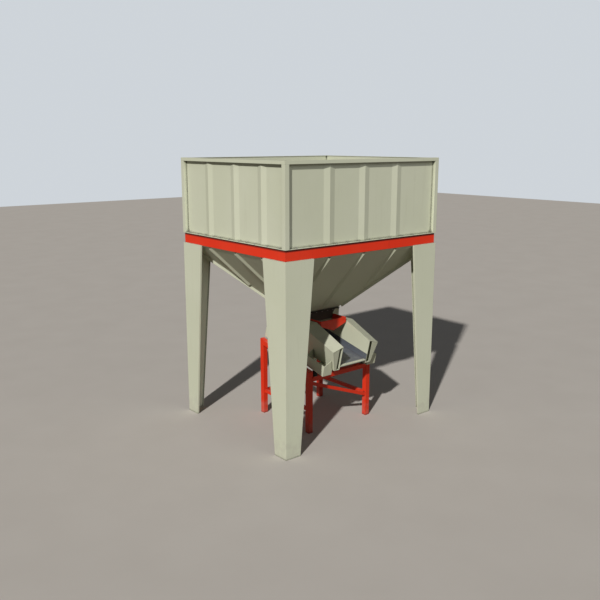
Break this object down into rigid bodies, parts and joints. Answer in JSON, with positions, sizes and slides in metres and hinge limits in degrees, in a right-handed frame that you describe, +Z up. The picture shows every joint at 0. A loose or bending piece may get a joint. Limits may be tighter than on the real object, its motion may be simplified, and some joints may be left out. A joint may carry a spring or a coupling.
{
  "type": "conical storage bunker",
  "caption": "Open-topped steel storage bunker on tapered legs, with a pyramid hopper over a sloping pan feeder on its own frame.",
  "frame": {"origin": "centre of the bunker's footprint on the ground", "axes": "+Z up; the lip of the feeder faces -Y"},
  "size_m": [4.2, 3.6, 5.73],
  "materials": {
    "cream_paint": "satin, weathered",
    "red_paint": "satin, weathered",
    "bare_steel": "dark, worn",
    "liner_steel": "worn by the material",
    "rubber": "matt"
  },
  "bodies": {
    "root": {"back_hopper_plate": "cream_paint", "back_rim": "cream_paint", "back_ring_beam": "red_paint", "back_wall": "cream_paint", "corner_post_back_left": "cream_paint", "corner_post_back_right": "cream_paint", "corner_post_front_left": "cream_paint", "corner_post_front_right": "cream_paint", "frame_back_beam": "red_paint", "frame_back_tie": "red_paint", "frame_front_beam": "red_paint", "frame_front_brace": "red_paint", "frame_left_rail": "red_paint", "frame_left_tie": "red_paint", "frame_post_back_left": "red_paint", "frame_post_back_right": "red_paint", "frame_post_front_left": "red_paint", "frame_post_front_right": "red_paint", "frame_right_rail": "red_paint", "frame_right_tie": "red_paint", "front_hopper_plate": "cream_paint", "front_rim": "cream_paint", "front_ring_beam": "red_paint", "front_wall": "cream_paint", "isolator_back_left": "rubber", "isolator_back_right": "rubber", "isolator_front_left": "rubber", "isolator_front_right": "rubber", "left_hopper_plate": "cream_paint", "left_rim": "cream_paint", "left_ring_beam": "red_paint", "left_wall": "cream_paint", "leg_back_left": "cream_paint", "leg_back_right": "cream_paint", "leg_front_left": "cream_paint", "leg_front_right": "cream_paint", "outlet_flange": "bare_steel", "outlet_neck": "bare_steel", "pan_back_cross_tube": "cream_paint", "pan_back_plate": "cream_paint", "pan_floor": "liner_steel", "pan_front_cross_tube": "cream_paint", "pan_left_side": "cream_paint", "pan_right_side": "cream_paint", "right_hopper_plate": "cream_paint", "right_rim": "cream_paint", "right_ring_beam": "red_paint", "right_wall": "cream_paint", "skirt_box": "red_paint"}
  },
  "joints": []
}
